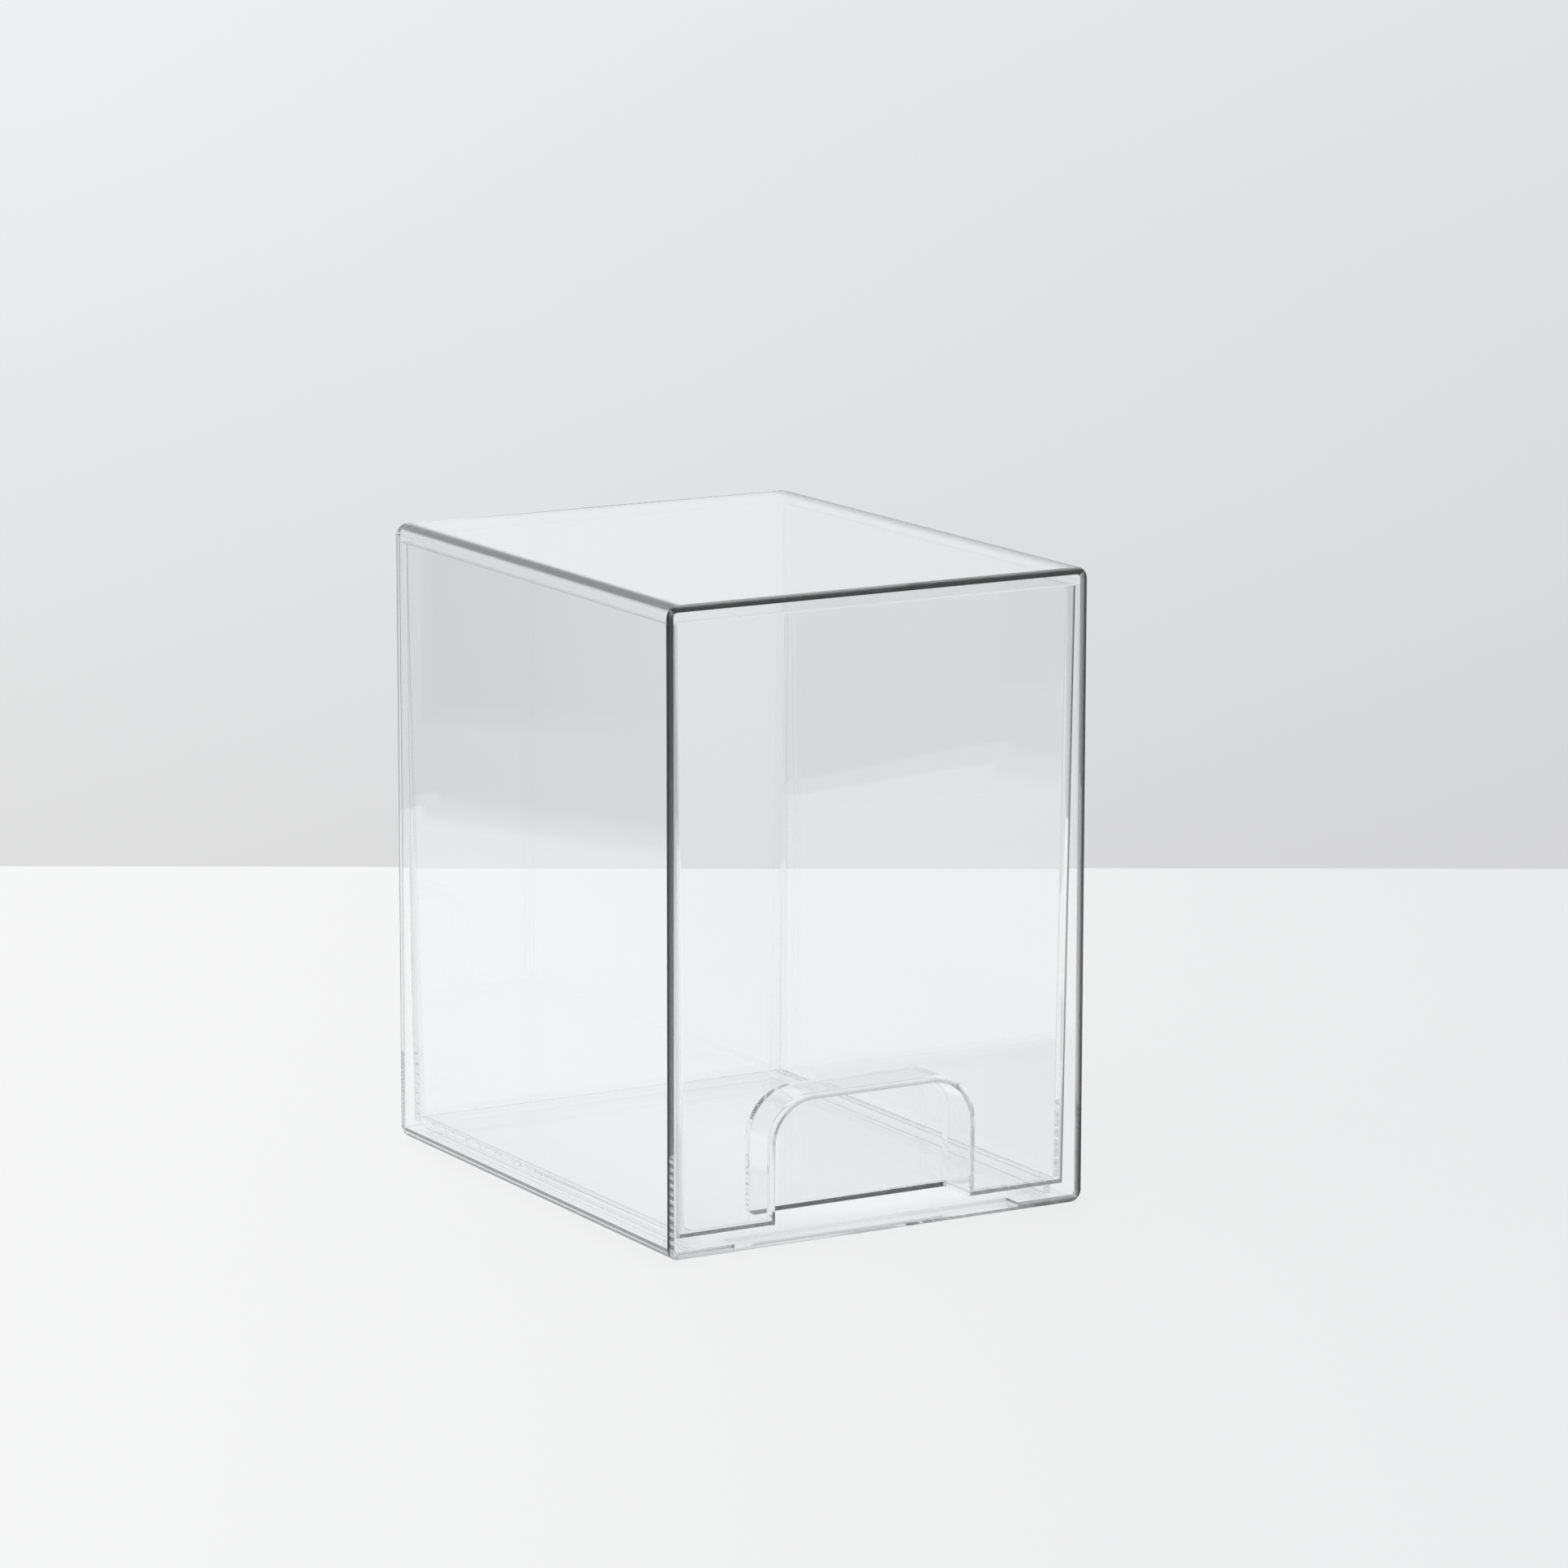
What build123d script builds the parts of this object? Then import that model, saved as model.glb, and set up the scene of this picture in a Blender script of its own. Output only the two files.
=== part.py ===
from build123d import *
import os
from math import radians, tan

# A clear moulded drawer unit that stacks: an open-fronted case, a deep drawer that fills it
# and four small bumper feet. Millimetres, +Z up, the open front faces -Y, and the origin lies
# under the middle of the unit, on the surface that it stands on.

# Case, outside
CASE_WIDTH = 125.2          # across the open front
CASE_DEPTH = 152.6
CASE_HEIGHT = 170.0
CASE_TAPER = 0.95           # what each side wall closes in by on its way to the back
CASE_LONG_RADIUS = 3.2      # the four edges that run from front to back
CASE_BACK_RADIUS = 2.5      # round the back panel
CASE_WALL = 2.0
RIM_RADIUS = 0.3            # broken edge of every moulded rim

# Shallow relief in the front lip of the case floor, under the finger pocket
LIP_RELIEF_MARGIN = 13.4    # how far it reaches past each side of the pocket
LIP_RELIEF_LENGTH = 6.0
LIP_RELIEF_DROP = 1.1

# Bumper feet
FOOT_DIAMETER = 9.0
FOOT_HEIGHT = 1.3
FOOT_EDGE_BEVEL = 0.5
FOOT_INSET = 11.0           # from the outside of the case to the middle of a foot

# Running gaps between the drawer and the case
SIDE_GAP = 0.3
BACK_GAP = 0.4
TOP_GAP = 2.8
RUNNER_GAP = 0.3

# Drawer
DRAWER_SETBACK = 1.6        # from the front of the case to the top edge of the drawer front
DRAWER_WALL = 2.0
DRAWER_FLOOR = 1.4
DRAWER_CORNER_RADIUS = 0.7  # upright corners, outside
DRAWER_INNER_RADIUS = 0.6   # upright corners, inside
DRAWER_FLOOR_RADIUS = 0.4   # inside, where the walls meet the floor
DRAWER_BASE_RADIUS = 0.4    # outside, round the underside
SIDE_DRAFT = 0.7            # degrees that each wall leans in towards the floor
FRONT_DRAFT = 0.25
BACK_DRAFT = 0.45

# Runner ribs under the drawer
RUNNER_WIDTH = 2.0
RUNNER_HEIGHT = 2.5
RUNNER_SIDE_INSET = 4.5     # from the drawer's lower side edge to the middle of a rib
RUNNER_END_INSET = 0.8      # from the front and back of the drawer's underside
RUNNER_EDGE_RADIUS = 0.5

# Finger pocket in the drawer front, open at the front and at the bottom
POCKET_WIDTH = 59.2
POCKET_HEIGHT = 32.1        # above the drawer's underside
POCKET_DEPTH = 12.8         # behind the lower edge of the drawer front
POCKET_CORNER_RADIUS = 11.5
POCKET_WALL = 1.8
POCKET_BACK_RADIUS = 0.8    # inside, where the pocket's back panel meets its sides

# Levels and places that follow from the sizes above
CASE_FRONT = -CASE_DEPTH / 2
CASE_BACK = CASE_DEPTH / 2
CASE_BOTTOM = FOOT_HEIGHT
CASE_TOP = CASE_BOTTOM + CASE_HEIGHT
CASE_FLOOR = CASE_BOTTOM + CASE_WALL
DRAWER_BOTTOM = CASE_FLOOR + RUNNER_GAP + RUNNER_HEIGHT
DRAWER_TOP = CASE_TOP - CASE_WALL - TOP_GAP
LIP_RELIEF_WIDTH = POCKET_WIDTH + 2 * LIP_RELIEF_MARGIN
OVERRUN = 5.0               # how far a cutting solid runs past what it cuts
MOSTLY = 0.9                # share of an edge's direction that counts as running along an axis


def tapered_plan(front, back, half_width):
    """A four-sided outline from above, as wide at each depth as half_width says on either side."""
    return Polygon(
        (-half_width(front), front),
        (half_width(front), front),
        (half_width(back), back),
        (-half_width(back), back),
        align=None,
    )


def case_half_width(y):
    return CASE_WIDTH / 2 - CASE_TAPER * (y - CASE_FRONT) / CASE_DEPTH


def case_block(inset, back, back_radius):
    """The case's form from its open front to depth back, drawn in by inset on every other side."""
    plan = tapered_plan(CASE_FRONT, back, lambda y: case_half_width(y) - inset)
    block = extrude(Pos(0, 0, CASE_BOTTOM + inset) * plan, CASE_HEIGHT - 2 * inset)
    long_edges = block.edges().filter_by(lambda edge: abs(edge.tangent_at(0.5).Y) > MOSTLY)
    block = fillet(long_edges, CASE_LONG_RADIUS - inset)
    return fillet(block.faces().sort_by(Axis.Y)[-1].edges(), back_radius)


def lip_relief():
    """The flat step that is missing from the front lip of the floor."""
    length = OVERRUN + LIP_RELIEF_LENGTH
    height = LIP_RELIEF_DROP + OVERRUN
    step = Box(LIP_RELIEF_WIDTH, length, height, align=(Align.CENTER, Align.MIN, Align.MIN))
    return Pos(0, CASE_FRONT - OVERRUN, CASE_FLOOR - LIP_RELIEF_DROP) * step


def outer_case():
    """The case: one moulding with five walls, open at the front."""
    block = case_block(0, CASE_BACK, CASE_BACK_RADIUS)
    hollow = case_block(CASE_WALL, CASE_BACK - CASE_WALL, max(CASE_BACK_RADIUS - CASE_WALL, RIM_RADIUS))
    case = block - hollow
    case = fillet(case.faces().sort_by(Axis.Y)[0].edges(), RIM_RADIUS)
    return case - lip_relief()


def drawer_half_width(y, z):
    """Half the drawer's outside width at depth y and level z: it keeps the case's taper."""
    lean = tan(radians(SIDE_DRAFT)) * (DRAWER_TOP - z)
    return case_half_width(y) - CASE_WALL - SIDE_GAP - lean


def drawer_front(z):
    return CASE_FRONT + DRAWER_SETBACK + tan(radians(FRONT_DRAFT)) * (DRAWER_TOP - z)


def drawer_back(z):
    return CASE_BACK - CASE_WALL - BACK_GAP - tan(radians(BACK_DRAFT)) * (DRAWER_TOP - z)


def drawer_block(inset, bottom, corner_radius, lower_radius):
    """The drawer's form from its rim down to a level, with walls that lean in towards the floor."""
    front = drawer_front(DRAWER_TOP) + inset
    back = drawer_back(DRAWER_TOP) - inset
    plan = tapered_plan(front, back, lambda y: drawer_half_width(y, DRAWER_TOP) - inset)
    block = extrude(Pos(0, 0, bottom) * plan, DRAWER_TOP - bottom)
    rim = Plane.XY.offset(DRAWER_TOP)
    for axis, end, angle in (
        (Axis.X, 0, SIDE_DRAFT),
        (Axis.X, -1, SIDE_DRAFT),
        (Axis.Y, 0, FRONT_DRAFT),
        (Axis.Y, -1, BACK_DRAFT),
    ):
        block = draft(block.faces().sort_by(axis)[end], rim, -angle)
    upright_edges = block.edges().filter_by(lambda edge: abs(edge.tangent_at(0.5).Z) > MOSTLY)
    block = fillet(upright_edges, corner_radius)
    return fillet(block.faces().sort_by(Axis.Z)[0].edges(), lower_radius)


def pocket_arch(front, back, grow, back_radius):
    """The pocket's arch between two depths, grown on every side, with its rear edge rounded."""
    height = POCKET_HEIGHT + OVERRUN + grow
    arch = Rectangle(POCKET_WIDTH + 2 * grow, height, align=(Align.CENTER, Align.MIN))
    arch = fillet(arch.vertices().group_by(Axis.Y)[-1], POCKET_CORNER_RADIUS + grow)
    rear = Plane((0, back, DRAWER_BOTTOM - OVERRUN), x_dir=(1, 0, 0), z_dir=(0, -1, 0))
    block = extrude(rear * arch, back - front)
    rear_edges = block.faces().sort_by(Axis.Y)[-1].edges()
    rear_edges = rear_edges.filter_by(lambda edge: edge.center().Z > DRAWER_BOTTOM)
    return fillet(rear_edges, back_radius)


def runner(side):
    """One of the two ribs that the drawer slides on."""
    front = drawer_front(DRAWER_BOTTOM) + RUNNER_END_INSET
    back = drawer_back(DRAWER_BOTTOM) - RUNNER_END_INSET
    rooted = RUNNER_HEIGHT + DRAWER_FLOOR / 2
    rib = Box(RUNNER_WIDTH, back - front, rooted, align=(Align.CENTER, Align.MIN, Align.MIN))
    rib = fillet(rib.faces().sort_by(Axis.Z)[0].edges(), RUNNER_EDGE_RADIUS)
    across = drawer_half_width(drawer_front(DRAWER_BOTTOM), DRAWER_BOTTOM) - RUNNER_SIDE_INSET
    return Pos(side * across, front, DRAWER_BOTTOM - RUNNER_HEIGHT) * rib


def drawer():
    """The drawer: a deep bin with a finger pocket pressed into its front."""
    block = drawer_block(0, DRAWER_BOTTOM, DRAWER_CORNER_RADIUS, DRAWER_BASE_RADIUS)
    hollow = drawer_block(
        DRAWER_WALL, DRAWER_BOTTOM + DRAWER_FLOOR, DRAWER_INNER_RADIUS, DRAWER_FLOOR_RADIUS
    )
    bin_walls = block - hollow
    rim_edges = bin_walls.faces().sort_by(Axis.Z)[-1].edges()
    bin_walls = fillet(rim_edges, RIM_RADIUS)
    lower_front = drawer_front(DRAWER_BOTTOM)
    pocket_back = lower_front + POCKET_DEPTH
    shroud = pocket_arch(lower_front, pocket_back + POCKET_WALL, POCKET_WALL, POCKET_WALL)
    void = pocket_arch(CASE_FRONT - OVERRUN, pocket_back, 0, POCKET_BACK_RADIUS)
    return bin_walls + (shroud & block) + runner(-1) + runner(1) - void


def foot():
    """One clear bumper, seen from the case's underside down to the table."""
    disc = Cylinder(FOOT_DIAMETER / 2, FOOT_HEIGHT, align=(Align.CENTER, Align.CENTER, Align.MIN))
    return chamfer(disc.edges().sort_by(Axis.Z)[0], FOOT_EDGE_BEVEL)


os.makedirs("parts", exist_ok=True)
export_step(outer_case(), "parts/outer_case.step")
export_step(drawer(), "parts/drawer.step")
for depth_name, depth_side in (("front", -1), ("back", 1)):
    for width_name, width_side in (("left", -1), ("right", 1)):
        place = Pos(
            width_side * (CASE_WIDTH / 2 - FOOT_INSET),
            depth_side * (CASE_DEPTH / 2 - FOOT_INSET),
            0,
        )
        export_step(place * foot(), f"parts/foot_{depth_name}_{width_name}.step")
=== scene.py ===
from math import radians

import bpy
from mathutils import Matrix, Vector


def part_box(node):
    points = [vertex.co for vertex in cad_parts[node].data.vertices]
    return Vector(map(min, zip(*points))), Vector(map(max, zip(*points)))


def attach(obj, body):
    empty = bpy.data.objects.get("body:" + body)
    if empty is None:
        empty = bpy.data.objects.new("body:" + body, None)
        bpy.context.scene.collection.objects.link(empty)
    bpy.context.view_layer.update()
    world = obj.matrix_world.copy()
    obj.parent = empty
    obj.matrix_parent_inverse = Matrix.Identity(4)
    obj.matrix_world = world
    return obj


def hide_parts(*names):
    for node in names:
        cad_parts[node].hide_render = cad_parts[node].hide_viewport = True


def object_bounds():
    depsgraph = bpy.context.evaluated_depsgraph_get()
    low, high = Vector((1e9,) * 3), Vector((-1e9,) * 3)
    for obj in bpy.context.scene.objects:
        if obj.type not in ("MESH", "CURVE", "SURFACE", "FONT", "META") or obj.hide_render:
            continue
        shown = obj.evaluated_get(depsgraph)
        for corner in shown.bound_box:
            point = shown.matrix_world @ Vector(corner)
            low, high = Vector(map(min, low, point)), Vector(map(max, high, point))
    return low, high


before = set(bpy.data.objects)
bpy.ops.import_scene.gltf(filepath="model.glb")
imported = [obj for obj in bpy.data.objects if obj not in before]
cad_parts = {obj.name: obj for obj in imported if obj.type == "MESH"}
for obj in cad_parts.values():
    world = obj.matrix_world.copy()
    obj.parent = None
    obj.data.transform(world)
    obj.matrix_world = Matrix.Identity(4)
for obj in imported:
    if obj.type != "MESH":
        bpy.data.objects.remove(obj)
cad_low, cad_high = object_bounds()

scene = bpy.context.scene
scene.view_settings.view_transform = "Standard"
# Light crosses up to a dozen clear surfaces on its way down to the table, and as many back, and
# it is mirrored to and fro inside the walls more often than that.
BOUNCES = 128
scene.cycles.max_bounces = BOUNCES
scene.cycles.transmission_bounces = BOUNCES
scene.cycles.glossy_bounces = BOUNCES
scene.cycles.blur_glossy = 0.0

# Camera: a long lens at table height, turned about thirty degrees to the left of the open
# front and looking a little down, as the photograph was taken.
CAMERA_PLACE = Vector((-0.9150, -1.5983, 0.4703))
CAMERA_TURN, CAMERA_DIP, CAMERA_ROLL = radians(-30.219), radians(11.17), radians(0.10)
camera_data = bpy.data.cameras.new("camera")
camera_data.sensor_width = 36.0
camera_data.lens = 161.83
camera_data.clip_start, camera_data.clip_end = 0.05, 30.0
camera = bpy.data.objects.new("camera", camera_data)
scene.collection.objects.link(camera)
camera.matrix_world = (
    Matrix.Translation(CAMERA_PLACE)
    @ Matrix.Rotation(CAMERA_TURN, 4, "Z")
    @ Matrix.Rotation(radians(90) - CAMERA_DIP, 4, "X")
    @ Matrix.Rotation(CAMERA_ROLL, 4, "Z")
)
scene.camera = camera


# Table: a pale matt top, wide enough to fill the view from any side. Most of what the camera
# sees of it is its own colour, as on a light table, so the shadow on it stays faint. That
# colour carries a painted falloff of light: lighter on the left, darker on the right.
def feed(tree, value, socket):
    """Set a socket to a number or colour, or link it where the value is a node's output."""
    if isinstance(value, bpy.types.NodeSocket):
        tree.links.new(value, socket)
    else:
        socket.default_value = value


def worked_out(tree, operation, first, second=0.0):
    """The output of a Math node, fed with numbers or with other nodes' outputs."""
    node = tree.nodes.new("ShaderNodeMath")
    node.operation = operation
    feed(tree, first, node.inputs[0])
    feed(tree, second, node.inputs[1])
    return node.outputs[0]


def ranged(tree, value, low, high, at_low=0.0, at_high=1.0, soft=False):
    """A value that goes from at_low to at_high while another goes from low to high."""
    node = tree.nodes.new("ShaderNodeMapRange")
    node.interpolation_type = "SMOOTHSTEP" if soft else "LINEAR"
    feed(tree, value, node.inputs["Value"])
    node.inputs["From Min"].default_value = low
    node.inputs["From Max"].default_value = high
    node.inputs["To Min"].default_value = at_low
    node.inputs["To Max"].default_value = at_high
    return node.outputs["Result"]


def blended(tree, factor, first, second):
    """A colour between two others: the first where the factor is 0, the second where it is 1."""
    node = tree.nodes.new("ShaderNodeMix")
    node.data_type = "RGBA"
    feed(tree, factor, node.inputs["Factor"])
    feed(tree, first, node.inputs["A"])
    feed(tree, second, node.inputs["B"])
    return node.outputs["Result"]


def place_axes(tree):
    """The place on the piece, and the same split into X, Y and Z."""
    place = tree.nodes.new("ShaderNodeTexCoord").outputs["Object"]
    axes = tree.nodes.new("ShaderNodeSeparateXYZ")
    tree.links.new(place, axes.inputs[0])
    return place, axes.outputs


def across_picture(tree, place, reach, soft=False):
    """How far a place lies across the picture: 0 at reach to the left of the middle, 1 at reach
    to the right of it."""
    turn = tree.nodes.new("ShaderNodeMapping")
    turn.inputs["Rotation"].default_value = (0, 0, PICTURE_TURN)
    tree.links.new(place, turn.inputs["Vector"])
    turned_axes = tree.nodes.new("ShaderNodeSeparateXYZ")
    tree.links.new(turn.outputs["Vector"], turned_axes.inputs[0])
    return ranged(tree, turned_axes.outputs["X"], -reach, reach, soft=soft)


PICTURE_TURN = radians(30.23)
TABLE_RISE = 0.00002
# Painted falloff of light on the table: its colour is lighter on the left than on the right.
TABLE_LIT_LEFT, TABLE_SHADED_RIGHT = (0.940, 0.940, 0.940, 1), (0.830, 0.832, 0.840, 1)
TABLE_GLOW_SHARE = 0.88
# Where the painted light and shadow under the box fade in and out, as pairs of places along X or
# Y.
PAINTED_LIGHT_UNDER_DRAWER, PAINTED_SHADOW_UNDER_LIP = 0.17, 0.10
UNDER_LEFT, UNDER_RIGHT = (-0.050, 0.020), (0.060, 0.070)
BEHIND_LIP, UNDER_BACK = (-0.066, -0.052), (0.070, 0.080)
LIP_LEFT_END = (-0.035, 0.015)

bpy.ops.object.select_all(action="DESELECT")
bpy.ops.mesh.primitive_plane_add(size=9.0, location=(0, 0, 0))
table = bpy.context.object
table.name = "table"
# A hair above the soles of the feet, which press into it.
table.data.transform(Matrix.Translation((0, 0, TABLE_RISE)))
table_finish = bpy.data.materials.new("table_finish")
table_finish.use_nodes = True
tree = table_finish.node_tree
table_shader = tree.nodes["Principled BSDF"]
place, axes = place_axes(tree)
table_painted_falloff = blended(tree, across_picture(tree, place, 0.30, soft=True), TABLE_LIT_LEFT, TABLE_SHADED_RIGHT)
feed(tree, table_painted_falloff, table_shader.inputs["Base Color"])
table_shader.inputs["Roughness"].default_value = 0.75
table_shader.inputs["Specular IOR Level"].default_value = 0.2
rays = tree.nodes.new("ShaderNodeLightPath")
seen = worked_out(tree, "MAXIMUM", rays.outputs["Is Camera Ray"], rays.outputs["Is Glossy Ray"])
seen = worked_out(tree, "MAXIMUM", seen, rays.outputs["Is Transmission Ray"])
table_glow = tree.nodes.new("ShaderNodeEmission")
feed(tree, table_painted_falloff, table_glow.inputs["Color"])
# Painted light under the drawer and painted shadow under the front lip: the table's glow is
# raised and lowered there. Both show only through the plastic.
under_width = worked_out(
    tree,
    "MULTIPLY",
    ranged(tree, axes["X"], *UNDER_LEFT, soft=True),
    ranged(tree, axes["X"], *UNDER_RIGHT, 1.0, 0.0, soft=True),
)
under_drawer = worked_out(
    tree,
    "MULTIPLY",
    ranged(tree, axes["Y"], *BEHIND_LIP, soft=True),
    ranged(tree, axes["Y"], *UNDER_BACK, 1.0, 0.0, soft=True),
)
under_all = worked_out(tree, "MULTIPLY", under_width, under_drawer)
painted_light = worked_out(tree, "MULTIPLY", under_all, PAINTED_LIGHT_UNDER_DRAWER)
painted_shadow = worked_out(
    tree,
    "MULTIPLY",
    ranged(tree, axes["X"], *LIP_LEFT_END, PAINTED_SHADOW_UNDER_LIP, 0.0, soft=True),
    ranged(tree, axes["Y"], *BEHIND_LIP, 1.0, 0.0, soft=True),
)
painted_gain = worked_out(tree, "SUBTRACT", painted_light, painted_shadow)
through = worked_out(tree, "SUBTRACT", 1.0, rays.outputs["Is Camera Ray"])
strength = worked_out(tree, "ADD", worked_out(tree, "MULTIPLY", painted_gain, through), 1.0)
feed(tree, strength, table_glow.inputs["Strength"])
table_look = tree.nodes.new("ShaderNodeMixShader")
feed(tree, worked_out(tree, "MULTIPLY", seen, TABLE_GLOW_SHARE), table_look.inputs[0])
tree.links.new(table_shader.outputs[0], table_look.inputs[1])
tree.links.new(table_glow.outputs[0], table_look.inputs[2])
tree.links.new(table_look.outputs[0], tree.nodes["Material Output"].inputs["Surface"])
table.data.materials.append(table_finish)


# Wall: stands on the table behind the box, square to the camera. It shows one side only, so
# it never hides the box from behind, and it glows at its own colour for what looks at it.
def one_sided_glow(tree, tone):
    """Finish a wall's material: its colour on the front, nothing at all on the back."""
    glow = tree.nodes.new("ShaderNodeEmission")
    feed(tree, tone, glow.inputs["Color"])
    clear_back = tree.nodes.new("ShaderNodeBsdfTransparent")
    facing = tree.nodes.new("ShaderNodeNewGeometry")
    one_side = tree.nodes.new("ShaderNodeMixShader")
    tree.links.new(facing.outputs["Backfacing"], one_side.inputs[0])
    tree.links.new(glow.outputs[0], one_side.inputs[1])
    tree.links.new(clear_back.outputs[0], one_side.inputs[2])
    output = tree.nodes.new("ShaderNodeOutputMaterial")
    tree.links.new(one_side.outputs[0], output.inputs["Surface"])


WALL_HEIGHT = 4.0


def upright_plane(name, start, end, finish):
    """A wall that stands over a line on the table and shows its side towards the box."""
    run = Vector((end[0] - start[0], end[1] - start[1], 0))
    bpy.ops.object.select_all(action="DESELECT")
    bpy.ops.mesh.primitive_plane_add(size=1.0, location=(0, 0, 0))
    plane = bpy.context.object
    plane.name = name
    plane.data.transform(
        Matrix.Translation((start[0] + run.x / 2, start[1] + run.y / 2, WALL_HEIGHT / 2))
        @ Matrix.Rotation(run.to_2d().angle_signed(Vector((1, 0))), 4, "Z")
        @ Matrix.Rotation(radians(90), 4, "X")
        @ Matrix.Diagonal((run.length, WALL_HEIGHT, 1.0, 1.0))
    )
    plane.visible_diffuse = False
    plane.visible_shadow = False
    plane.data.materials.append(finish)


wall_finish = bpy.data.materials.new("wall_finish")
wall_finish.use_nodes = True
tree = wall_finish.node_tree
tree.nodes.clear()
place, axes = place_axes(tree)
# The wall's tone carries a painted falloff of light: lighter high up and towards the left.
LOW_LEFT, LOW_RIGHT = (0.745, 0.745, 0.750, 1), (0.665, 0.665, 0.680, 1)
HIGH_LEFT, HIGH_RIGHT = (0.870, 0.885, 0.895, 1), (0.745, 0.780, 0.790, 1)
across = across_picture(tree, place, 0.28)
low_row = blended(tree, across, LOW_LEFT, LOW_RIGHT)
high_row = blended(tree, across, HIGH_LEFT, HIGH_RIGHT)
wall_painted_falloff = blended(tree, ranged(tree, axes["Z"], 0.0, 0.30), low_row, high_row)
# Painted reflection: for glossy rays the wall is brightened high up, so the top of the box mirrors
# a brighter wall over the picture.
WALL_PAINTED_REFLECTION, PAINTED_REFLECTION_SHARE = (0.97, 0.98, 0.985, 1), 0.42
rays = tree.nodes.new("ShaderNodeLightPath")
painted_reflection = worked_out(
    tree,
    "MULTIPLY",
    ranged(tree, axes["Z"], 0.16, 0.22, 0.0, PAINTED_REFLECTION_SHARE),
    rays.outputs["Is Glossy Ray"],
)
one_sided_glow(tree, blended(tree, painted_reflection, wall_painted_falloff, WALL_PAINTED_REFLECTION))
WALL_START, WALL_END = (-0.025, 0.4775), (4.5213, -2.1719)
upright_plane("wall", WALL_START, WALL_END, wall_finish)

# Corner of the room: past the left edge of the picture the wall turns twice towards the
# camera. It is seen only in the clear sides of the box, which mirror it at a slant. Each has a
# tone in front and at the back, below and above a skirting, and a foot that may climb along X.
# The tones are painted shade, darker than the wall behind the box.
SKIRTING_SLOPE, SKIRTING_LOW, SKIRTING_HIGH = 0.068, 0.0640, 0.0680
MIRRORED_TABLE = (0.9, 0.9, 0.9, 1)
GREEN_SHARE, BLUE_SHARE = 1.004, 1.008
for name, start, end, tones_along, climb, foot in (
    (
        "wall_turned",
        (-0.252, 0.442),
        (-0.020, 0.439),
        ((0.52, 0.52), (0.52, 0.52)),
        0.062,
        (-0.0060, -0.0040),
    ),
    (
        "wall_side",
        (-0.9140, -0.9000),
        (-0.2416, 0.5000),
        ((0.60, 0.55), (0.58, 0.39)),
        0.0,
        (0.0, 0.006),
    ),
):
    finish = bpy.data.materials.new(name)
    finish.use_nodes = True
    tree = finish.node_tree
    tree.nodes.clear()
    _, axes = place_axes(tree)
    along = ranged(tree, axes["Y"], 0.36, 0.46)
    rows = [
        blended(
            tree,
            along,
            (front, front * GREEN_SHARE, front * BLUE_SHARE, 1),
            (back, back * GREEN_SHARE, back * BLUE_SHARE, 1),
        )
        for front, back in tones_along
    ]
    slope = worked_out(tree, "MULTIPLY", axes["Y"], SKIRTING_SLOPE)
    height = worked_out(tree, "ADD", axes["Z"], slope)
    over_skirting = ranged(tree, height, SKIRTING_LOW, SKIRTING_HIGH, soft=True)
    panel_painted_shade = blended(tree, over_skirting, *rows)
    above_foot = worked_out(tree, "ADD", axes["Z"], worked_out(tree, "MULTIPLY", axes["X"], climb))
    over_table = ranged(tree, above_foot, *foot, soft=True)
    one_sided_glow(tree, blended(tree, over_table, MIRRORED_TABLE, panel_painted_shade))
    upright_plane(name, start, end, finish)


# Light: an even pale studio all round, a little brighter overhead, and one broad soft lamp
# high on the left.
STUDIO_LOW, STUDIO_HIGH = (0.74, 0.755, 0.765, 1), (0.88, 0.895, 0.905, 1)
world = bpy.data.worlds.new("studio")
scene.world = world
world.use_nodes = True
tree = world.node_tree
direction = tree.nodes.new("ShaderNodeTexCoord")
up = tree.nodes.new("ShaderNodeSeparateXYZ")
tree.links.new(direction.outputs["Generated"], up.inputs[0])
tones = tree.nodes.new("ShaderNodeValToRGB")
ramp = tones.color_ramp
ramp.elements[0].position, ramp.elements[0].color = 0.05, STUDIO_LOW
ramp.elements[1].position, ramp.elements[1].color = 0.75, STUDIO_HIGH
tree.links.new(up.outputs["Z"], tones.inputs["Fac"])
tree.links.new(tones.outputs["Color"], tree.nodes["Background"].inputs["Color"])

lamp_data = bpy.data.lights.new("key", "AREA")
lamp_data.shape = "RECTANGLE"
lamp_data.size, lamp_data.size_y = 1.6, 1.2
lamp_data.energy = 6.0
lamp = bpy.data.objects.new("key", lamp_data)
scene.collection.objects.link(lamp)
lamp.location = (-1.2, -0.1, 1.5)
lamp.rotation_euler = (Vector((0, 0, 0.05)) - lamp.location).to_track_quat("-Z", "Y").to_euler()

# Outer case: one clear polystyrene moulding with a floor, a top, two sides and a back. Its
# walls are polished. The rim round its open front and its outer corners carry painted shade,
# dark where the plastic is seen edge on, and two of its left edges carry grey painted shade.
# The shell is the frame's own form with its rounded edges smoothed.
CLEAR = (0.997, 0.999, 1.0, 1)
CLEAR_IOR = 1.57
CASE_TOP = cad_high[2]
CASE_FRONT, CASE_BACK = cad_low[1], cad_high[1]
CASE_UNDERSIDE = 0.0013
CASE_HALF_WIDTH_FRONT, CASE_HALF_WIDTH_BACK = 0.0626, 0.06165
SAME_POINT = 0.000002
SHARP_EDGE = radians(38)
FLAT_ENOUGH = 0.9996

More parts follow.
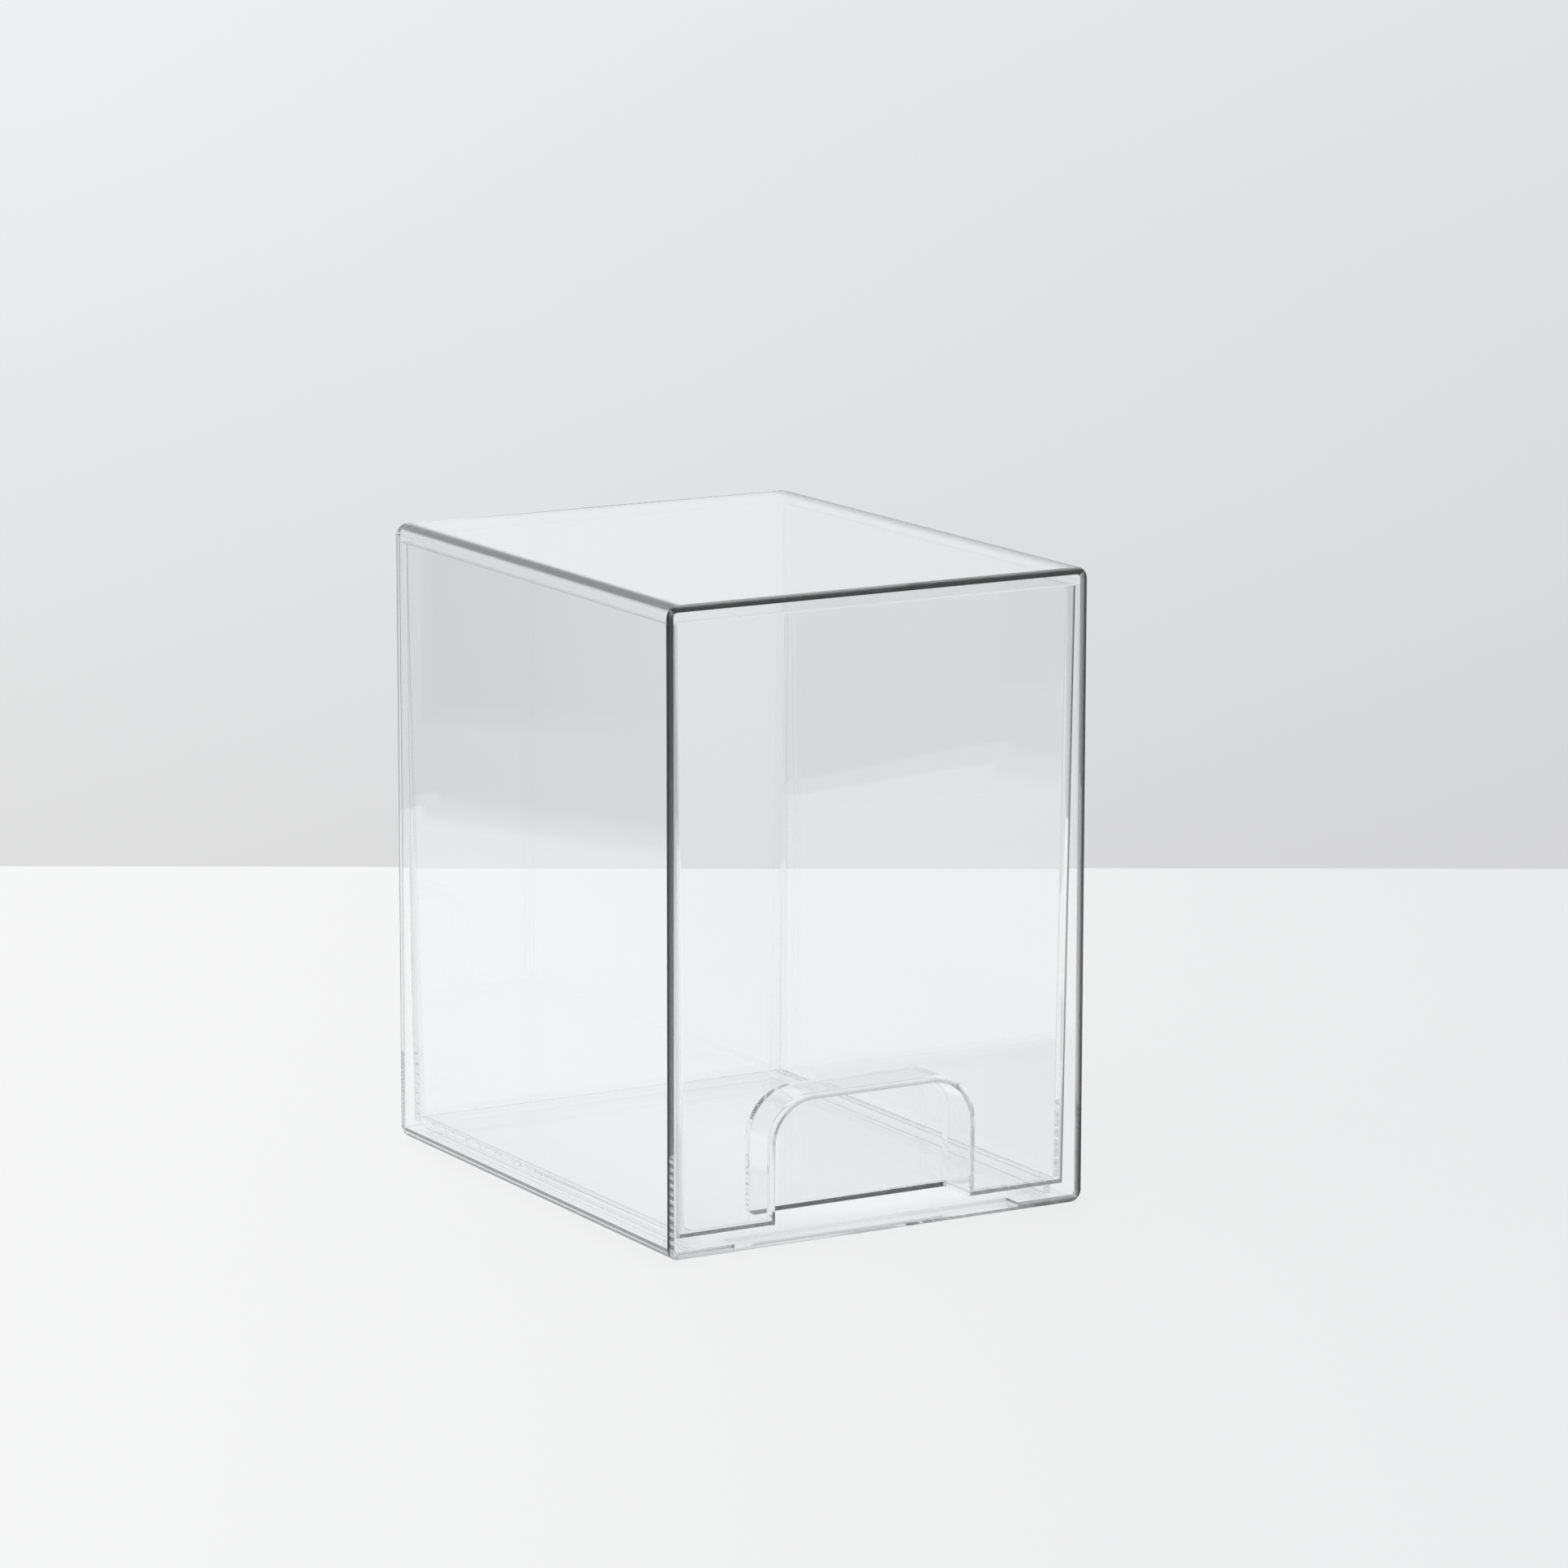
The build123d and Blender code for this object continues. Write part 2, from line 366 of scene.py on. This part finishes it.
polish = bpy.data.node_groups.new("polish", "ShaderNodeTree")
polish.interface.new_socket("Vector", in_out="INPUT", socket_type="NodeSocketVector")
polish.interface.new_socket("Roughness", in_out="INPUT", socket_type="NodeSocketFloat")
polish.interface.new_socket("Scratches", in_out="INPUT", socket_type="NodeSocketFloat")
polish.interface.new_socket("Roughness", in_out="OUTPUT", socket_type="NodeSocketFloat")
polish.interface.new_socket("Height", in_out="OUTPUT", socket_type="NodeSocketFloat")
given = polish.nodes.new("NodeGroupInput")
results = polish.nodes.new("NodeGroupOutput")
SCRATCH_DEPTH = 0.02
SCRATCH_FROM, SCRATCH_FULL = 0.76, 0.84
flow = polish.nodes.new("ShaderNodeTexNoise")
flow.inputs["Scale"].default_value = 22.0
flow.inputs["Detail"].default_value = 1.0
polish.links.new(given.outputs["Vector"], flow.inputs["Vector"])
hairlines = 0.0
for stretch, turned in (((900, 900, 22), (0.25, 0.1, 0.0)), ((24, 900, 900), (0.0, 0.2, 0.35))):
    lay = polish.nodes.new("ShaderNodeMapping")
    lay.inputs["Scale"].default_value = stretch
    lay.inputs["Rotation"].default_value = turned
    polish.links.new(given.outputs["Vector"], lay.inputs["Vector"])
    streaks = polish.nodes.new("ShaderNodeTexNoise")
    streaks.inputs["Scale"].default_value = 1.0
    streaks.inputs["Detail"].default_value = 0.0
    polish.links.new(lay.outputs["Vector"], streaks.inputs["Vector"])
    fine = ranged(polish, streaks.outputs["Fac"], SCRATCH_FROM, SCRATCH_FULL)
    hairlines = worked_out(polish, "MAXIMUM", hairlines, fine)
scratched = worked_out(polish, "MULTIPLY", hairlines, given.outputs["Scratches"])
polish.links.new(
    worked_out(polish, "ADD", given.outputs["Roughness"], scratched), results.inputs["Roughness"]
)
cut = worked_out(polish, "MULTIPLY", scratched, SCRATCH_DEPTH)
polish.links.new(
    worked_out(polish, "SUBTRACT", flow.outputs["Fac"], cut), results.inputs["Height"]
)

corner_band = bpy.data.node_groups.new("corner_band", "ShaderNodeTree")
for name in ("First Distance", "Second Distance", "Reach"):
    corner_band.interface.new_socket(name, in_out="INPUT", socket_type="NodeSocketFloat")
corner_band.interface.new_socket("Mask", in_out="OUTPUT", socket_type="NodeSocketFloat")
given = corner_band.nodes.new("NodeGroupInput")
results = corner_band.nodes.new("NodeGroupOutput")
farther = worked_out(
    corner_band, "MAXIMUM", given.outputs["First Distance"], given.outputs["Second Distance"]
)
share = worked_out(corner_band, "DIVIDE", farther, given.outputs["Reach"])
BAND_CORE = 0.4
mask = ranged(corner_band, share, BAND_CORE, 1.0, 1.0, 0.0, soft=True)
corner_band.links.new(mask, results.inputs["Mask"])


def band(tree, first, second, reach):
    """How close a place is to the corner between two faces, by its distances from both."""
    node = tree.nodes.new("ShaderNodeGroup")
    node.node_tree = corner_band
    feed(tree, first, node.inputs["First Distance"])
    feed(tree, second, node.inputs["Second Distance"])
    node.inputs["Reach"].default_value = reach
    return node.outputs["Mask"]


def clear_plastic(name, roughness=0.0, scratches=0.012, ior=CLEAR_IOR, clearness=1.0):
    """A clear plastic with a faint flow in its surface and sparse hairline scratches: the
    material, its tree, its sockets for colour and roughness, and the place on the piece."""
    material = bpy.data.materials.new(name)
    material.use_nodes = True
    tree = material.node_tree
    shader = tree.nodes["Principled BSDF"]
    shader.inputs["Base Color"].default_value = CLEAR
    shader.inputs["IOR"].default_value = ior
    shader.inputs["Transmission Weight"].default_value = clearness
    place, axes = place_axes(tree)
    surface = tree.nodes.new("ShaderNodeGroup")
    surface.node_tree = polish
    tree.links.new(place, surface.inputs["Vector"])
    surface.inputs["Roughness"].default_value = roughness
    surface.inputs["Scratches"].default_value = scratches
    tree.links.new(surface.outputs["Roughness"], shader.inputs["Roughness"])
    relief = tree.nodes.new("ShaderNodeBump")
    relief.inputs["Strength"].default_value = 0.02
    relief.inputs["Distance"].default_value = 0.001
    tree.links.new(surface.outputs["Height"], relief.inputs["Height"])
    tree.links.new(relief.outputs["Normal"], shader.inputs["Normal"])
    return material, tree, shader.inputs["Base Color"], surface.inputs["Roughness"], axes


def merged_shell(node, name, cut_height=None):
    """A copy of a frame node's mesh with its doubles merged, sharp where the moulding is sharp
    and smooth round its rounded edges, with its flat faces kept flat."""
    shell = bpy.data.objects.new(name, node.data.copy())
    scene.collection.objects.link(shell)
    bpy.ops.object.select_all(action="DESELECT")
    shell.select_set(True)
    bpy.context.view_layer.objects.active = shell
    bpy.ops.mesh.customdata_custom_splitnormals_clear()
    bpy.ops.object.shade_smooth()
    bpy.ops.object.mode_set(mode="EDIT")
    bpy.ops.mesh.select_mode(type="VERT")
    bpy.ops.mesh.select_all(action="SELECT")
    bpy.ops.mesh.remove_doubles(threshold=SAME_POINT)
    if cut_height is not None:
        bpy.ops.mesh.bisect(plane_co=(0, 0, cut_height), plane_no=(0, 0, 1))
    bpy.ops.mesh.select_mode(type="EDGE")
    bpy.ops.mesh.select_all(action="DESELECT")
    bpy.ops.mesh.edges_select_sharp(sharpness=SHARP_EDGE)
    bpy.ops.mesh.mark_sharp()
    bpy.ops.mesh.select_mode(type="FACE")
    bpy.ops.mesh.select_all(action="DESELECT")
    bpy.ops.object.mode_set(mode="OBJECT")
    for face in shell.data.polygons:
        face.select = max(abs(part) for part in face.normal) > FLAT_ENOUGH
    bpy.ops.object.mode_set(mode="EDIT")
    bpy.ops.mesh.mod_weighted_strength(set=True, face_strength="STRONG")
    bpy.ops.mesh.select_all(action="INVERT")
    bpy.ops.mesh.mod_weighted_strength(set=True, face_strength="WEAK")
    bpy.ops.object.mode_set(mode="OBJECT")
    weighting = shell.modifiers.new("weighting", "WEIGHTED_NORMAL")
    weighting.keep_sharp = True
    weighting.use_face_influence = True
    bpy.ops.object.modifier_apply(modifier=weighting.name)
    return shell


def case_half_width(tree, axes):
    """Half the case's outside width at a place: it is narrower at the back."""
    return ranged(
        tree, axes["Y"], CASE_FRONT, CASE_BACK, CASE_HALF_WIDTH_FRONT, CASE_HALF_WIDTH_BACK
    )


def tone_ramp(tree, position, stops):
    """A grey that goes through the given stops, each a position and a tone."""
    node = tree.nodes.new("ShaderNodeValToRGB")
    ramp = node.color_ramp
    while len(ramp.elements) < len(stops):
        ramp.elements.new(0.5)
    for element, (place, grey) in zip(ramp.elements, stops):
        element.position, element.color = place, (grey, grey, grey, 1)
    feed(tree, position, node.inputs["Fac"])
    return node.outputs["Color"]


# Painted shade on the case's edges, and how far each reaches from the corner between its two
# faces.
LEFT_EDGE_PAINTED_SHADE, LEFT_EDGE_REACH = (0.20, 0.205, 0.21, 1), 0.0055
RIGHT_EDGE_PAINTED_SHADE, RIGHT_EDGE_REACH = (0.58, 0.59, 0.60, 1), 0.0085
BACK_EDGE_PAINTED_SHADE, BACK_EDGE_REACH = (0.62, 0.63, 0.64, 1), 0.0045
LEFT_UPRIGHT_PAINTED_SHADE, LEFT_UPRIGHT_REACH = (0.15, 0.155, 0.16, 1), 0.0026
LEFT_FOOT_PAINTED_SHADE, LEFT_FOOT_REACH = (0.40, 0.41, 0.42, 1), 0.0022
EDGE_ROUGHNESS = 0.30
# The bands along the top are flat: this many times as wide as they are high.
SIDE_BANDS_FLAT, BACK_BAND_FLAT = 3.0, 2.0
# Half the stretch at the middle over which the left side's finish gives way to the right one's.
MIDDLE = 0.01
clear_case, tree, case_colour, case_roughness, axes = clear_plastic("clear_case")
from_middle = worked_out(tree, "ABSOLUTE", axes["X"])
from_side = worked_out(tree, "SUBTRACT", case_half_width(tree, axes), from_middle)
from_top = worked_out(tree, "SUBTRACT", CASE_TOP, axes["Z"])
from_back = worked_out(tree, "SUBTRACT", CASE_BACK, axes["Y"])
on_left = ranged(tree, axes["X"], -MIDDLE, MIDDLE, 1.0, 0.0)
on_right = ranged(tree, axes["X"], -MIDDLE, MIDDLE)
side_drop = worked_out(tree, "MULTIPLY", from_top, SIDE_BANDS_FLAT)
left_edge = worked_out(
    tree, "MULTIPLY", band(tree, from_side, side_drop, LEFT_EDGE_REACH), on_left
)
right_edge = worked_out(
    tree, "MULTIPLY", band(tree, from_side, side_drop, RIGHT_EDGE_REACH), on_right
)
upright = band(tree, from_side, from_back, LEFT_UPRIGHT_REACH)
left_upright = worked_out(
    tree,
    "MULTIPLY",
    worked_out(tree, "MULTIPLY", upright, on_left),
    ranged(tree, axes["Z"], 0.05, 0.17, 0.45, 1.0),
)
from_bottom = worked_out(tree, "SUBTRACT", axes["Z"], CASE_UNDERSIDE)
left_foot = worked_out(
    tree, "MULTIPLY", band(tree, from_side, from_bottom, LEFT_FOOT_REACH), on_left
)
back_drop = worked_out(tree, "MULTIPLY", from_top, BACK_BAND_FLAT)
back_edge = band(tree, from_back, back_drop, BACK_EDGE_REACH)
# The clear colour with each edge's painted shade laid over it.
case_painted_tone = CLEAR
for edge, tone in (
    (left_foot, LEFT_FOOT_PAINTED_SHADE),
    (left_edge, LEFT_EDGE_PAINTED_SHADE),
    (right_edge, RIGHT_EDGE_PAINTED_SHADE),
    (left_upright, LEFT_UPRIGHT_PAINTED_SHADE),
    (back_edge, BACK_EDGE_PAINTED_SHADE),
):
    case_painted_tone = blended(tree, edge, case_painted_tone, tone)
feed(tree, case_painted_tone, case_colour)
softened = worked_out(tree, "MAXIMUM", left_edge, right_edge)
feed(tree, worked_out(tree, "MULTIPLY", softened, EDGE_ROUGHNESS), case_roughness)

SATIN = (0.975, 0.98, 0.985, 1)
satin, _, satin_colour, *_ = clear_plastic("satin", roughness=0.3, clearness=0.3)
satin_colour.default_value = SATIN

# The rounding of the back left upright, and of the long edge under the left side, carry painted
# shade as plain grey lines: dark at the top, paler on the way down, and half dark under the side.
CORNER_SHADE_HIGH, CORNER_SHADE_LOW = (0.15, 0.155, 0.16, 1), (0.40, 0.41, 0.42, 1)
CORNER_SHADE_UNDER_SIDE = (0.50, 0.51, 0.52, 1)
painted_shade_corner, tree, corner_colour, _, axes = clear_plastic(
    "painted_shade_corner", roughness=0.4, scratches=0.0, clearness=0.1
)
tree.nodes["Principled BSDF"].inputs["Specular IOR Level"].default_value = 0.0
upright_painted_shade = blended(tree, ranged(tree, axes["Z"], 0.03, 0.165), CORNER_SHADE_LOW, CORNER_SHADE_HIGH)
over_edge = ranged(tree, axes["Z"], 0.005, 0.010)
feed(tree, blended(tree, over_edge, CORNER_SHADE_UNDER_SIDE, upright_painted_shade), corner_colour)

# The rim's painted shade runs from its outer edge inwards, over the width that RIM_SCALE gives.
RIM_SCALE = 0.0025
RIM_PAINTED_SHADES = {
    "left_high": ((0, 0.008), (0.08, 0.001), (0.22, 0.003), (0.36, 0.10), (0.80, 0.07), (1, 0.10)),
    "left_low": ((0, 0.05), (0.08, 0.015), (0.18, 0.02), (0.32, 0.60), (0.60, 0.75), (1, 0.50)),
    "right": ((0, 0.004), (0.12, 0.001), (0.34, 0.01), (0.62, 0.16), (0.85, 0.70)),
    "top": ((0, 0.55), (0.12, 0.25), (0.24, 0.05), (0.33, 0.003), (0.80, 0), (0.88, 0.15)),
    "bottom": ((0, 0.30), (0.10, 0.10), (0.36, 0.10), (0.60, 0.97), (1, 0.97)),
}
# How dark the painted shade on the lip is, from its left end to its right one: dark at the
# right end, half dark at the left end and at the middle.
LIP_SHADE_SHARES = (
    (0, 0.55), (0.10, 0.45), (0.20, 0.30), (0.27, 0.05), (0.38, 0.08), (0.45, 0.60),
    (0.53, 0.60), (0.58, 0.03), (0.76, 0.06), (0.82, 0.35), (0.89, 0.95), (1, 1),
)
PALE = (0.97, 0.97, 0.97, 1)
case_rim, tree, rim_colour, _, axes = clear_plastic("case_rim", scratches=0.0)
from_middle = worked_out(tree, "ABSOLUTE", axes["X"])
from_side = worked_out(tree, "SUBTRACT", CASE_HALF_WIDTH_FRONT, from_middle)
from_top = worked_out(tree, "SUBTRACT", CASE_TOP, axes["Z"])
from_bottom = worked_out(tree, "SUBTRACT", axes["Z"], CASE_UNDERSIDE)
distances = {"top": from_top, "bottom": from_bottom}
rim_painted_shades = {}
for side, stops in RIM_PAINTED_SHADES.items():
    across = worked_out(tree, "DIVIDE", distances.get(side, from_side), RIM_SCALE)
    rim_painted_shades[side] = tone_ramp(tree, across, stops)
# The painted shade on the left upright pales on its way down.
lower_share = ranged(tree, axes["Z"], 0.045, 0.165, 1.0, 0.0, soft=True)
tone = blended(tree, lower_share, rim_painted_shades["left_high"], rim_painted_shades["left_low"])
along_lip = ranged(tree, axes["X"], -CASE_HALF_WIDTH_FRONT, CASE_HALF_WIDTH_FRONT)
lip_shade_share = tone_ramp(tree, along_lip, LIP_SHADE_SHARES)
bottom_painted_shade = blended(tree, lip_shade_share, PALE, rim_painted_shades["bottom"])
for where, other in (
    (worked_out(tree, "GREATER_THAN", axes["X"], 0.0), rim_painted_shades["right"]),
    (worked_out(tree, "LESS_THAN", from_bottom, from_side), bottom_painted_shade),
    (worked_out(tree, "LESS_THAN", from_top, from_side), rim_painted_shades["top"]),
):
    tone = blended(tree, where, tone, other)
feed(tree, tone, rim_colour)

# Which faces of the shell have which material: the rim round the front and the two rounded
# edges on the left, which carry painted shade, and the step in the lip.
RIM_DEPTH = 0.00031
LOWER_EDGES = 0.0048
STEP_FRONT = CASE_FRONT + 0.0055
LEFT_OF, BEHIND = -0.0588, 0.0736
# How much of a face's normal points along an axis.
SQUARE_ON, A_LITTLE, DOWNWARDS = 0.99, 0.15, 0.55
case_shell = merged_shell(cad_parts["outer_case"], "case_shell")
case_shell.data.materials.clear()
for material in (clear_case, case_rim, satin, painted_shade_corner):
    case_shell.data.materials.append(material)
ON_RIM, ON_STEP, ON_CORNER = 1, 2, 3
for face in case_shell.data.polygons:
    corners = [case_shell.data.vertices[i].co for i in face.vertices]
    least = [min(corner[axis] for corner in corners) for axis in range(3)]
    most = [max(corner[axis] for corner in corners) for axis in range(3)]
    low_down = most[2] < LOWER_EDGES
    turned_left = face.normal.x < -A_LITTLE and most[0] < LEFT_OF
    turned_back = face.normal.y > A_LITTLE and abs(face.normal.z) < A_LITTLE
    on_upright = turned_back and least[1] > BEHIND
    under_side = face.normal.z < -DOWNWARDS and low_down
    if most[1] < CASE_FRONT + RIM_DEPTH:
        face.material_index = ON_RIM
    elif low_down and face.normal.y < -SQUARE_ON and least[1] > STEP_FRONT:
        face.material_index = ON_STEP
    elif turned_left and (on_upright or under_side):
        face.material_index = ON_CORNER
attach(case_shell, "case")
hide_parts("outer_case")

# Drawer: one deep clear bin of the same plastic, moulded with an arched finger pocket in its
# front and two low runner ribs under its floor. The front upright corners, the lower edges of
# the front and the edge of the arch carry painted shade, and the moulded top rim is a little matt.
DRAWER_TOP = 0.1665
DRAWER_BOTTOM = 0.0061
LOWER_STRIP = 0.00735
# How far each wall leans in per metre down, and how far its top lies inside the case's outside.
SIDE_LEAN, FRONT_LEAN, REAR_LEAN = 0.012218, 0.0043633, 0.0078542
SIDE_INSET, FRONT_INSET, REAR_INSET = 0.0023, 0.0016, 0.0024
POCKET_HALF_WIDTH, POCKET_TOP, POCKET_RADIUS = 0.0296, 0.0382, 0.0115
UPRIGHT_REACH, MATT_REACH = 0.0013, 0.0020
MATT_ROUGHNESS = 0.45
UPRIGHT_SHADE_HIGH, UPRIGHT_SHADE_LOW = (0.004, 0.0042, 0.0044, 1), (0.08, 0.082, 0.084, 1)
ARCH_PAINTED_SHADE, LEG_FOOT_PAINTED_SHADE = (0.40, 0.41, 0.42, 1), (0.03, 0.031, 0.032, 1)
# The heights between which a share or a tone changes, and the distances from the arch's
# outline and from the drawer's front over which the arch's band of painted shade ends.
SHARE_HEIGHTS, TONE_HEIGHTS, MATT_HEIGHTS = (0.04, 0.15), (0.02, 0.16), (0.032, 0.042)
ARCH_HEIGHTS, TICK_HEIGHTS = (0.020, 0.030), (0.0094, 0.0102)
BAND_WIDTH, BAND_DEPTH = (0.0004, 0.0016), (0.0003, 0.0006)

clear_drawer, tree, drawer_colour, drawer_roughness, axes = clear_plastic("clear_drawer")
below_top = worked_out(tree, "SUBTRACT", DRAWER_TOP, axes["Z"])
leant_in = worked_out(tree, "ADD", worked_out(tree, "MULTIPLY", below_top, SIDE_LEAN), SIDE_INSET)
half_width = worked_out(tree, "SUBTRACT", case_half_width(tree, axes), leant_in)
from_middle = worked_out(tree, "ABSOLUTE", axes["X"])
from_side = worked_out(tree, "SUBTRACT", half_width, from_middle)
leant_back = worked_out(tree, "MULTIPLY", below_top, FRONT_LEAN)
front = worked_out(tree, "ADD", leant_back, CASE_FRONT + FRONT_INSET)
from_front = worked_out(tree, "SUBTRACT", axes["Y"], front)
# Painted shade on the front uprights: darkest on the right, and on the left it pales on the way
# down.
upright_share = worked_out(
    tree,
    "MAXIMUM",
    ranged(tree, axes["X"], -0.02, 0.02),
    ranged(tree, axes["Z"], *SHARE_HEIGHTS, 0.25, 0.7),
)
front_uprights = band(tree, from_side, from_front, UPRIGHT_REACH)
uprights = worked_out(tree, "MULTIPLY", front_uprights, upright_share)
# Low down, the four upright corners are left a little matt by the mould.
leant_forward = worked_out(tree, "MULTIPLY", below_top, REAR_LEAN)
rear = worked_out(tree, "SUBTRACT", CASE_BACK - REAR_INSET, leant_forward)
from_rear = worked_out(tree, "SUBTRACT", rear, axes["Y"])
all_uprights = worked_out(
    tree,
    "MAXIMUM",
    band(tree, from_side, from_front, MATT_REACH),
    band(tree, from_side, from_rear, MATT_REACH),
)
low_roughness = ranged(tree, axes["Z"], *MATT_HEIGHTS, MATT_ROUGHNESS, 0.0)
feed(tree, worked_out(tree, "MULTIPLY", all_uprights, low_roughness), drawer_roughness)
# Distance outwards from the arch's outline, for the band along its front edge.
past_side = worked_out(tree, "SUBTRACT", from_middle, POCKET_HALF_WIDTH - POCKET_RADIUS)
past_top = worked_out(tree, "SUBTRACT", axes["Z"], POCKET_TOP - POCKET_RADIUS)
corner_x = worked_out(tree, "MAXIMUM", past_side, 0.0)
corner_z = worked_out(tree, "MAXIMUM", past_top, 0.0)
squares = worked_out(
    tree,
    "ADD",
    worked_out(tree, "MULTIPLY", corner_x, corner_x),
    worked_out(tree, "MULTIPLY", corner_z, corner_z),
)
from_arch = worked_out(tree, "SUBTRACT", worked_out(tree, "SQRT", squares), POCKET_RADIUS)
beside_arch = worked_out(
    tree,
    "MULTIPLY",
    ranged(tree, from_arch, *BAND_WIDTH, 1.0, 0.0, soft=True),
    ranged(tree, from_front, *BAND_DEPTH, 1.0, 0.0),
)
# The arch's band of painted shade is full over the arch, half dark down its right leg and faint
# down its left one, apart from a dark tick at the left leg's foot.
leg_share = ranged(tree, axes["X"], -MIDDLE, MIDDLE, 0.1, 0.6)
arch_share = worked_out(tree, "MAXIMUM", leg_share, ranged(tree, axes["Z"], *ARCH_HEIGHTS))
arch_shade_band = worked_out(tree, "MULTIPLY", beside_arch, arch_share)
left_foot = worked_out(
    tree,
    "MULTIPLY",
    ranged(tree, axes["Z"], *TICK_HEIGHTS, 1.0, 0.0),
    worked_out(tree, "LESS_THAN", axes["X"], 0.0),
)
foot_tick = worked_out(tree, "MULTIPLY", beside_arch, left_foot)
drawer_painted_tone = blended(tree, arch_shade_band, CLEAR, ARCH_PAINTED_SHADE)
upright_painted_shade = blended(tree, ranged(tree, axes["Z"], *TONE_HEIGHTS), UPRIGHT_SHADE_LOW, UPRIGHT_SHADE_HIGH)
drawer_painted_tone = blended(tree, uprights, drawer_painted_tone, upright_painted_shade)
drawer_painted_tone = blended(tree, foot_tick, drawer_painted_tone, LEG_FOOT_PAINTED_SHADE)
feed(tree, drawer_painted_tone, drawer_colour)

# The strips along the lower edges of the front and of the pocket carry dark painted shade.
painted_shade_edges = []
for name, reach, left_shade, right_shade in (
    ("drawer_edge", 0.05, (0.070, 0.072, 0.074, 1), (0.19, 0.192, 0.194, 1)),
    ("pocket_edge", 0.03, (0.032, 0.033, 0.034, 1), (0.016, 0.0165, 0.017, 1)),
):
    finish, tree, edge_colour, _, axes = clear_plastic(name, scratches=0.0)
    across = ranged(tree, axes["X"], -reach, reach)
    feed(tree, blended(tree, across, left_shade, right_shade), edge_colour)
    painted_shade_edges.append(finish)

# Which faces have which material: the strip under the drawer's front and the same strip in the
# pocket behind it, both with painted shade, and the top rim.
STRIP_FROM, STRIP_TO = DRAWER_BOTTOM - 0.0001, LOWER_STRIP + 0.00001
FRONT_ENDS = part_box("drawer")[0][1] + 0.002
FORWARDS = 0.9
drawer_shell = merged_shell(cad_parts["drawer"], "drawer_shell", LOWER_STRIP)
drawer_shell.data.materials.clear()
for material in (clear_drawer, *painted_shade_edges, satin):
    drawer_shell.data.materials.append(material)
ON_FRONT_STRIP, ON_POCKET_STRIP, ON_TOP_RIM = 1, 2, 3
for face in drawer_shell.data.polygons:
    corners = [drawer_shell.data.vertices[i].co for i in face.vertices]
    lowest, highest = min(corner.z for corner in corners), max(corner.z for corner in corners)
    in_strip = STRIP_FROM < lowest and highest < STRIP_TO
    if face.normal.y < -FORWARDS and in_strip:
        on_front = max(corner.y for corner in corners) < FRONT_ENDS
        face.material_index = ON_FRONT_STRIP if on_front else ON_POCKET_STRIP
    elif lowest > DRAWER_TOP - RIM_DEPTH:
        face.material_index = ON_TOP_RIM
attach(drawer_shell, "drawer")
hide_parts("drawer")

# Bumper feet: four small soft discs of clear rubber, stuck under the corners of the case, each
# a hair short of its underside, with its lower edge moulded round.
BUMPER_RADIUS, BUMPER_HEIGHT, BUMPER_EDGE = 0.0045, 0.00128, 0.0005
BUMPER_INSET = 0.0110
BUMPER_TONE = (0.95, 0.955, 0.955, 1)
LEVEL_ENOUGH = 0.999
clear_bumper, _, bumper_colour, *_ = clear_plastic(
    "clear_bumper", roughness=0.1, scratches=0.1, ior=1.42
)
bumper_colour.default_value = BUMPER_TONE
for corner, across, along in (
    ("front_left", -1, -1),
    ("front_right", 1, -1),
    ("back_left", -1, 1),
    ("back_right", 1, 1),
):
    bpy.ops.object.select_all(action="DESELECT")
    bpy.ops.mesh.primitive_cylinder_add(
        vertices=72, radius=BUMPER_RADIUS, depth=BUMPER_HEIGHT, location=(0, 0, 0)
    )
    bumper = bpy.context.object
    bumper.name = f"bumper_{corner}"
    bpy.ops.object.mode_set(mode="EDIT")
    bpy.ops.mesh.select_mode(type="EDGE")
    bpy.ops.mesh.select_all(action="DESELECT")
    bpy.ops.object.mode_set(mode="OBJECT")
    for edge in bumper.data.edges:
        edge.select = all(bumper.data.vertices[i].co.z < 0 for i in edge.vertices)
    bpy.ops.object.mode_set(mode="EDIT")
    bpy.ops.mesh.bevel(offset=BUMPER_EDGE, segments=5)
    bpy.ops.object.mode_set(mode="OBJECT")
    for face in bumper.data.polygons:
        face.use_smooth = abs(face.normal.z) < LEVEL_ENOUGH
    place_under = Vector(
        (
            across * (cad_high[0] - BUMPER_INSET),
            along * (cad_high[1] - BUMPER_INSET),
            BUMPER_HEIGHT / 2,
        )
    )
    bumper.data.transform(Matrix.Translation(place_under))
    bumper.data.materials.append(clear_bumper)
    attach(bumper, "case")
    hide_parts(f"foot_{corner}")
